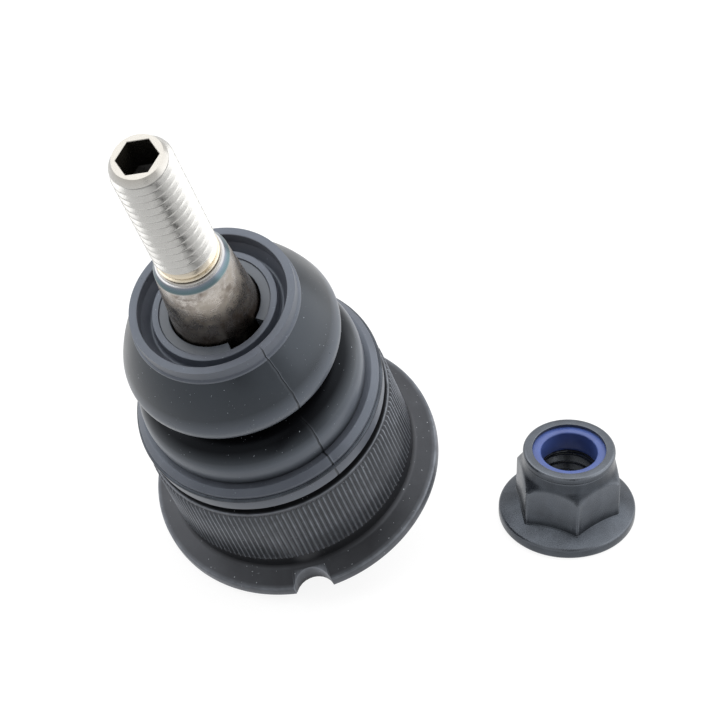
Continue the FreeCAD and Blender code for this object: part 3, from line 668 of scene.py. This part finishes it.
def build_stud():
    """Ball stud with its real thread and hexagon socket, one forging. Inside the boot its shank
    is slimmer than the CAD's, which leaves the boot's waist room when the stud swings."""
    stud = span("ball_stud")
    ball = stud.outer
    tip = stud.high
    thread_low = tip - 35.4
    run_out = 6.45
    run_out_length = 1.6
    chamfer_length = 2.6
    face = THREAD_RADIUS - 1.5
    # Thread roots deeper than this share of the depth get painted shade, this strong
    shaded_root_depth = 0.9
    root_shade = 0.5
    socket_depth = 8.5
    socket_cone = 1.2
    socket_half_flats = 4.0
    socket_edge = 0.12
    angles = edge_angles(3.0, [(SOCKET_AZIMUTH + corner, (-0.6, 0.0, 0.6)) for corner in HEX_CORNERS])

    ball_flat = math.sqrt(ball ** 2 - stud.low ** 2)
    shank = 7.4
    shank_low = math.sqrt(ball ** 2 - shank ** 2)
    shank_high = 43.0
    taper_low, taper_high = 9.6, 8.25
    taper_widest, taper_start, taper_end = 47.0, 53.3, 71.0
    shoulder = 7.1
    shoulder_low, shoulder_high = 72.6, 73.2
    journal = 6.85
    journal_low, journal_high = 73.5, 73.85
    lower = [(0, stud.low)] + bow((ball_flat, stud.low), (shank, shank_low), ball, 24)
    lower += rounded([
        (shank, shank_low + 0.4, 0), (shank, shank_high, 3),
        (taper_low, taper_widest, 2), (taper_low, taper_start, 1.0),
        (taper_high, taper_end, 0.35), (shoulder + 0.35, shoulder_low - 0.05, 0.12),
        (shoulder, shoulder_low, 0.05), (shoulder, shoulder_high, 0.12),
        (run_out, shoulder_high + 0.05, 0.05), (run_out, journal_low - 0.05, 0.05),
        (journal, journal_low, 0.1), (journal, journal_high, 0.1), (run_out, thread_low, 0)])

    def thread_point(height, depth):
        """A point of the thread, which runs out at its foot and is chamfered at the tip."""
        fade = min((height - thread_low) / run_out_length, 1.0)
        root = THREAD_RADIUS - THREAD_DEPTH * depth
        radius = run_out + (root - run_out) * fade
        chamfer = face + (THREAD_RADIUS - face) * (tip - height) / chamfer_length
        # Its roots are darkened as painted shade
        tone = root_shade * fade if depth > shaded_root_depth and radius < chamfer else 0.0
        return (min(radius, chamfer), height, tone)

    def end_column(angle):
        """The end face and the hexagon socket, whose walls and floor are darkened as painted shade."""
        rim = hexagon_radius(angle, SOCKET_AZIMUTH, socket_half_flats)
        floor = tip - socket_depth
        return [
            (face, tip), (rim + socket_edge, tip), (rim, tip - socket_edge),
            (rim, tip - socket_edge - 0.01, 1.0), (rim, floor, 1.0), (0, floor - socket_cone, 1.0)]

    shell = Shell()
    shell.turn([lower] * len(angles), angles, looped=False)
    threads = [thread_column(a, thread_low, tip, thread_point) for a in angles]
    shell.turn(threads, angles, looped=False, wrap=len(THREAD_FORM))
    shell.turn([end_column(a) for a in angles], angles, looped=False)
    piece = shell.piece("ball_stud_threaded", STEEL_BRIGHT)
    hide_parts("ball_stud")
    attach(piece, "stud")


def build_nut():
    """Flange nut: hexagon that flares from its flange, rolled crown, thread in its bore."""
    nut = span("flange_nut", NUT_PLACE)
    rim_thickness = 2.5
    rim_round = 0.7
    cone_top = 4.5
    half_flats = 10.5
    corner_round = 0.12
    hex_top = 13.9
    hex_chamfer = math.tan(math.radians(42.0))
    softness = 1.2
    crown = 10.2
    neck = crown - 0.35
    crease = nut.high - 1.85
    chamfer_steps = 10
    window = 8.1
    insert_top = nut.high - 0.7
    insert_floor = 13.2
    insert_radius = 8.7
    bore = THREAD_RADIUS - THREAD_DEPTH
    entry = 1.1
    thread_fade = 0.8
    flange_flat = nut.outer - rim_round
    cone = (cone_top - rim_thickness) / (flange_flat - half_flats)
    soft_corner = half_flats / math.cos(math.radians(30)) - corner_round
    corner_steps = (-3.0, -1.6, -0.8, 0.0, 0.8, 1.6, 3.0)
    angles = edge_angles(2.5, [(NUT_CORNER_AZIMUTH + corner, corner_steps) for corner in HEX_CORNERS])

    def outside(angle):
        """The nut from its bearing face over flange, flats, chamfer and crown to its bore."""
        side = min(hexagon_radius(angle, NUT_CORNER_AZIMUTH, half_flats), soft_corner)
        foot = rim_thickness + (flange_flat - side) * cone
        over = side - neck
        meeting = hex_top + (half_flats - side + softness ** 2 / (4 * over)) * hex_chamfer
        points = [
            (bore + entry, 0, 0), (nut.outer, 0, rim_round), (nut.outer, rim_thickness, rim_round),
            (side + 0.25, foot - 0.1, 0.2), (side, foot + 0.1, 0.2), (side, meeting - 0.2, 0)]
        for step in range(1, chamfer_steps + 1):
            height = meeting + (crease - meeting) * step / chamfer_steps
            past = (hex_top - height) / hex_chamfer + half_flats - neck
            points.append((neck + (past + math.hypot(past, softness)) / 2, height, 0))
        points += [
            (crown - 0.3, crease + 0.1, 0.3), (crown - 0.03, crease + 0.45, 0.15),
            (crown, nut.high, 1.35), (window, nut.high, 0.15), (window, insert_top, 0),
            (insert_radius, insert_top, 0), (insert_radius, insert_floor, 0), (bore, insert_floor, 0)]
        return rounded(points)

    def thread_point(height, depth):
        """A point of the thread in the bore, which fades out at both ends and is darkened as painted
        shade.
        """
        near_end = min(height - entry, insert_floor - height)
        fade = min(max(near_end / thread_fade, 0.0), 1.0)
        return (bore + THREAD_DEPTH * depth * fade, height, 1.0)

    shell = Shell()
    shell.turn([outside(a) for a in angles], angles, looped=False)
    threads = [thread_column(a, entry, insert_floor, thread_point)[::-1] for a in angles]
    shell.turn(threads, angles, looped=False, wrap=-len(THREAD_FORM))
    # The bore's entry, whose lower edge is darkened as painted shade
    shell.turn([[(bore, entry, 1.0), (bore + entry, 0)]] * len(angles), angles, looped=False)
    piece = shell.piece("flange_nut_threaded", STEEL_ZINC, NUT_PLACE)
    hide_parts("flange_nut")
    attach(piece, "nut")


def build_insert():
    """The nut's locking ring, sunk under the crown's lip, with a rounded inner edge."""
    ring = span("locking_insert", NUT_PLACE)
    outline = rounded([
        (ring.inner, ring.low, 0.2), (ring.outer, ring.low, 0), (ring.outer, ring.high - 0.15, 0.1),
        (ring.inner + 0.9, ring.high, 0.5), (ring.inner, ring.high - 0.12, 0.35)], closed=True)
    angles = edge_angles(3.0)
    shell = Shell()
    shell.turn([outline] * len(angles), angles)
    piece = shell.piece("locking_insert_moulding", NYLON_BLUE, NUT_PLACE)
    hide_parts("locking_insert")
    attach(piece, "nut")


def build_housing():
    """Forged housing: notched flange, smooth pilot, band for the teeth, spigot, rolled lip."""
    housing = span("housing")
    cover = span("end_cover")
    ring = span("upper_bearing_ring")
    underside = housing.low + 1.3
    seat = cover.outer + 0.1
    seat_top = underside + 2.5
    flange = housing.outer
    rim = flange - 1.1
    rim_top = underside + 2.99
    pilot = BAND_RADIUS - 0.4
    slope_end = pilot + 0.7
    slope_top = underside + 4.4
    pilot_low = slope_top + 0.9
    pilot_high = slope_top + 3.6
    band_low = slope_top + 4.0
    shoulder = span("boot_foot").low - 2.4
    shoulder_radius = pilot + 0.1
    spigot = span("boot_press_ring").inner
    spigot_top = shoulder + 6.6
    lip, mouth = 19.6, 14.6
    # The pilot below the teeth gets painted shade through its tone
    pilot_shade = 0.7
    outline = rounded([
        (cover.outer - 1.4, underside, 0), (cover.outer - 1.2, housing.low, 0.2),
        (seat + 1.6, housing.low, 0.6), (seat + 2.4, underside, 0.3), (flange, underside, 0.7),
        (flange, underside + 2.7, 0.55), (rim, rim_top, 0),
        (slope_end, slope_top, 1.0), (pilot, pilot_low, 0.5),
        (pilot, pilot_high, 0.2), (ROOT_RADIUS, band_low, 0.2),
        (ROOT_RADIUS, shoulder - 1.0, 0.2), (shoulder_radius, shoulder - 0.7, 0.15),
        (shoulder_radius, shoulder, 0.25), (pilot - 0.5, shoulder, 0), (spigot, shoulder, 0.3),
        (spigot, spigot_top - 0.8, 0.1), (spigot - 0.8, spigot_top, 0.1),
        (lip, spigot_top, 0.3), (mouth, ring.high, 0), (ring.outer, ring.high, 0),
        (ring.outer, seat_top, 0), (seat, seat_top, 0), (seat, underside, 0)],
        closed=True)
    pilot_shaded_outline = [
        (r, z, pilot_shade if r > pilot - 0.1 and pilot_low - 0.3 < z < pilot_high + 0.2 else 0.0)
        for r, z in outline]

    notch = 4.2
    notch_centre = 0.5
    notch_side = 0.01
    notch_half = math.degrees(math.asin(math.hypot(notch, notch_centre) / flange))
    steps = 12
    notch_steps = [notch_half * math.sin(math.pi * (k / steps - 0.5)) for k in range(steps + 1)]
    notch_steps += [-notch_half - notch_side, notch_half + notch_side]
    angles = edge_angles(1.5, [(NOTCH_AZIMUTH, notch_steps)])

    def notched(angle):
        """The outline, cut back where the round notch goes through the flange."""
        off = abs(away(angle, NOTCH_AZIMUTH))
        if off > notch_half + notch_side / 2:
            return pilot_shaded_outline
        across = flange * math.sin(math.radians(off))
        limit = flange * math.cos(math.radians(off)) + notch_centre
        limit -= math.sqrt(max(notch ** 2 - across ** 2, 0))
        on_slope = rim_top + (slope_top - rim_top) * (rim - limit) / (rim - slope_end)
        points = []
        for r, z, tone in pilot_shaded_outline:
            if r > limit and z < pilot_low:
                r, z = limit, max(z, on_slope) if z > underside + 2.0 else z
            points.append((r, z, tone))
        return points

    shell = Shell()
    shell.turn([notched(a) for a in angles], angles)
    piece = shell.piece("housing_forging", STEEL_BLACK)
    teeth = build_teeth(underside + 8.2, shoulder - 0.9)
    for part in (piece, teeth):
        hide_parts("housing")
        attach(part, "housing")


def tooth_mesh(low, high):
    """One tooth of the press band, with a rounded crest and sloping ends, standing at radius 0.
    Its crest is marked as an edge that is lightened, as wear and as painted highlight, and its flanks
    a little."""
    half = math.pi * ROOT_RADIUS / TOOTH_COUNT
    sunk = 0.06
    end_slope = 0.45
    # Lightening of the crest and flanks: wear, and painted highlight
    crest_lightening, flank_lightening = 1.1, 0.3
    section = [
        (-sunk, -half), (0.04, -0.7 * half), (0.4, -0.32 * half), (TOOTH_DEPTH, -0.16 * half),
        (TOOTH_DEPTH, 0.16 * half), (0.4, 0.32 * half), (0.04, 0.7 * half), (-sunk, half)]
    stations = [(low, 0.0), (low + end_slope, 1.0), (high - end_slope, 1.0), (high, 0.0)]
    vertices = [
        (((x + sunk) * rise - sunk) * MM, y * MM, z * MM)
        for z, rise in stations for x, y in section]
    rows = len(section)
    faces = [
        (s * rows + k, s * rows + k + 1, (s + 1) * rows + k + 1, (s + 1) * rows + k)
        for s in range(len(stations) - 1) for k in range(rows - 1)]
    mesh = bpy.data.meshes.new("tooth")
    mesh.from_pydata(vertices, [], faces)
    keep_values(mesh, "edge", [
        rise * (crest_lightening if x == TOOTH_DEPTH else flank_lightening)
        for _, rise in stations for x, _ in section])
    return mesh


def tooth_tree():
    """Geometry nodes that stand teeth in a ring: its inputs are the sizes of the ring."""
    tree = bpy.data.node_groups.new("tooth_ring", "GeometryNodeTree")
    kinds = [
        ("Tooth", "NodeSocketObject"), ("Count", "NodeSocketInt"),
        ("Radius", "NodeSocketFloat"), ("Finish", "NodeSocketMaterial")]
    tree.interface.new_socket("Geometry", in_out="OUTPUT", socket_type="NodeSocketGeometry")
    for name, kind in kinds:
        tree.interface.new_socket(name, in_out="INPUT", socket_type=kind)
    given = tree.nodes.new("NodeGroupInput").outputs
    circle = add_node(tree, "GeometryNodeMeshCircle", {
        "Vertices": given["Count"], "Radius": given["Radius"]})
    step = add_node(tree, MATH, (TURN, given["Count"]), operation="DIVIDE")
    index = add_node(tree, "GeometryNodeInputIndex")
    turn = add_node(tree, MATH, (index, step), operation="MULTIPLY")
    rotation = add_node(tree, "ShaderNodeCombineXYZ", {"Z": turn})
    tooth = add_node(tree, "GeometryNodeObjectInfo", {"Object": given["Tooth"]}, "Geometry")
    placed = add_node(tree, "GeometryNodeInstanceOnPoints", {
        "Points": circle, "Instance": tooth, "Rotation": rotation})
    real = add_node(tree, "GeometryNodeRealizeInstances", {"Geometry": placed})
    finished = add_node(tree, "GeometryNodeSetMaterial", {
        "Geometry": real, "Material": given["Finish"]})
    set_inputs(tree, tree.nodes.new("NodeGroupOutput"), {"Geometry": finished})
    return tree


def build_teeth(low, high):
    """The press band's teeth as one mesh."""
    tooth = add_object("tooth", tooth_mesh(low, high))
    holder = add_object("tooth_ring", bpy.data.meshes.new("tooth_ring"))
    tree = tooth_tree()
    modifier = holder.modifiers.new("tooth_ring", "NODES")
    modifier.node_group = tree
    values = {
        "Tooth": tooth, "Count": TOOTH_COUNT, "Radius": ROOT_RADIUS * MM, "Finish": STEEL_BLACK}
    for item in tree.interface.items_tree:
        if item.in_out == "INPUT":
            modifier[item.identifier] = values[item.name]
    bpy.context.view_layer.update()
    evaluated = holder.evaluated_get(bpy.context.evaluated_depsgraph_get())
    mesh = bpy.data.meshes.new_from_object(evaluated)
    holder.modifiers.clear()
    for thing in (tooth, holder):
        bpy.data.objects.remove(thing)
    mesh.transform(LEANING)
    mesh.shade_smooth()
    mesh.set_sharp_from_angle(angle=SHARP_TOOTH_EDGE)
    return add_object("press_band_teeth", mesh)


def finish_frame_nodes():
    """CAD nodes whose shape is right get their finish."""
    finishes = {
        "end_cover": STEEL_BLACK, "boot_press_ring": STEEL_BLACK, "boot_clamp_ring": STEEL_ZINC,
        "upper_bearing_ring": ACETAL_WHITE, "lower_bearing_cup": ACETAL_WHITE,
        "preload_ring": ELASTOMER,
    }
    for node, material in finishes.items():
        mesh = frame["nodes"][node].data
        mesh.materials.clear()
        mesh.materials.append(material)


build_housing()
build_boot()
build_split_ring()
build_stud()
build_nut()
build_insert()
finish_frame_nodes()


# Lamps: name, place in metres, width and height in metres, watts; all face the joint's middle
LAMPS = (
    ("overhead", (0.0, 0.35, 0.9), (1.6, 1.2), 8.5),
    ("right", (0.85, 0.05, 0.35), (1.4, 1.1), 7.0),
    ("left", (-0.8, 0.15, 0.35), (0.8, 1.0), 3.8))
LAMP_TARGET = Vector((0, 0, 0.02))


def build_lamps():
    """Broad lamps that give each side of the joint a long soft highlight."""
    for name, position, across, watts in LAMPS:
        light = bpy.data.lights.new(name, "AREA")
        light.shape = "RECTANGLE"
        light.size, light.size_y = across
        light.energy = watts
        lamp = add_object(name, light)
        lamp.location = position
        towards = LAMP_TARGET - Vector(position)
        lamp.rotation_euler = towards.to_track_quat("-Z", "Y").to_euler()


def build_floor():
    """Matt backdrop paper under the joint. The camera, metal and glass see it white; to all other
    rays it is a grey table in the light, so that it keeps the shadow and lights the underside."""
    height = cad_box[0].z
    reach = 4.0
    corners = [(-reach, -reach), (reach, -reach), (reach, reach), (-reach, reach)]
    table_light, white = 0.45, 0.88
    mesh = bpy.data.meshes.new("floor")
    mesh.from_pydata([(x, y, height) for x, y in corners], [], [(0, 1, 2, 3)])
    floor = add_object("floor", mesh)
    material, tree, shader, _ = new_material("backdrop_paper")
    path = add_node(tree, LIGHT_PATH).node.outputs
    reflected = add_node(
        tree, MATH, (path["Is Glossy Ray"], path["Is Transmission Ray"]), operation="MAXIMUM")
    seen = add_node(tree, MATH, (path["Is Camera Ray"], reflected), operation="MAXIMUM")
    set_inputs(tree, shader, {
        "Base Color": "686868",
        "Roughness": 0.8,
        "Emission Color": "ffffff",
        "Emission Strength": add_node(tree, RANGE, (seen, 0.0, 1.0, table_light, white)),
    })
    mesh.materials.append(material)


def build_world():
    """Studio light: white above and behind, dimmer low down and in front. Shiny pieces mirror a
    narrow dark gap in front, where the camera stands, and white elsewhere, as the camera sees."""
    gap_middle, gap_half, gap_edge = 0.12, 0.1, 0.16
    gap_begins, gap_full = -0.2, -0.35
    gap_light = 0.02
    front_begins, front_full = -0.1, -0.7
    front_light = 0.3
    full_height = 0.8
    horizon_light = 0.3
    world = bpy.data.worlds.new("studio")
    bpy.context.scene.world = world
    world.use_nodes = True
    tree = world.node_tree
    direction = add_node(tree, "ShaderNodeTexCoord", output="Generated")
    parts = add_node(tree, "ShaderNodeSeparateXYZ", [direction]).node.outputs
    path = add_node(tree, LIGHT_PATH).node.outputs
    beside = add_node(tree, MATH, (parts["X"], -gap_middle), operation="ADD")
    distance = add_node(tree, MATH, [beside], operation="ABSOLUTE")
    across = add_node(tree, RANGE, (distance, gap_half, gap_edge, 1.0, 0.0))
    ahead = add_node(tree, RANGE, (parts["Y"], gap_begins, gap_full, 0.0, 1.0))
    gap = add_node(tree, MATH, (across, ahead), operation="MULTIPLY")
    lit = add_node(tree, RANGE, (gap, 0.0, 1.0, 1.0, gap_light))
    front = add_node(tree, RANGE, (parts["Y"], front_begins, front_full, 1.0, front_light))
    upper = add_node(tree, RANGE, (parts["Z"], 0.0, full_height, horizon_light, 1.0))
    ceiling = add_node(tree, MATH, (front, upper), operation="MULTIPLY")
    level = add_node(tree, MATH, (lit, ceiling), operation="MULTIPLY")
    reflected = add_node(
        tree, MATH, (path["Is Glossy Ray"], path["Is Transmission Ray"]), operation="MAXIMUM")
    mirrored = add_node(tree, MATH, (reflected, lit), operation="MULTIPLY")
    backdrop = add_node(tree, MATH, (path["Is Camera Ray"], mirrored), operation="MAXIMUM")
    set_inputs(tree, tree.nodes["Background"], {
        "Color": "ffffff",
        "Strength": add_node(tree, MATH, (level, backdrop), operation="MAXIMUM"),
    })


def build_camera():
    """The photograph's viewpoint, as a long lens from above."""
    camera = bpy.data.cameras.new("camera")
    camera.sensor_width = 36.0
    camera.lens = 225.0
    elevation = math.radians(40.3)
    holder = add_object("camera", camera)
    holder.location = (0.01686, -0.73623, 0.64638)
    holder.rotation_euler = (math.pi / 2 - elevation, 0, 0)
    bpy.context.scene.camera = holder


build_floor()
build_world()
build_camera()
build_lamps()
bpy.context.scene.view_settings.view_transform = "Standard"
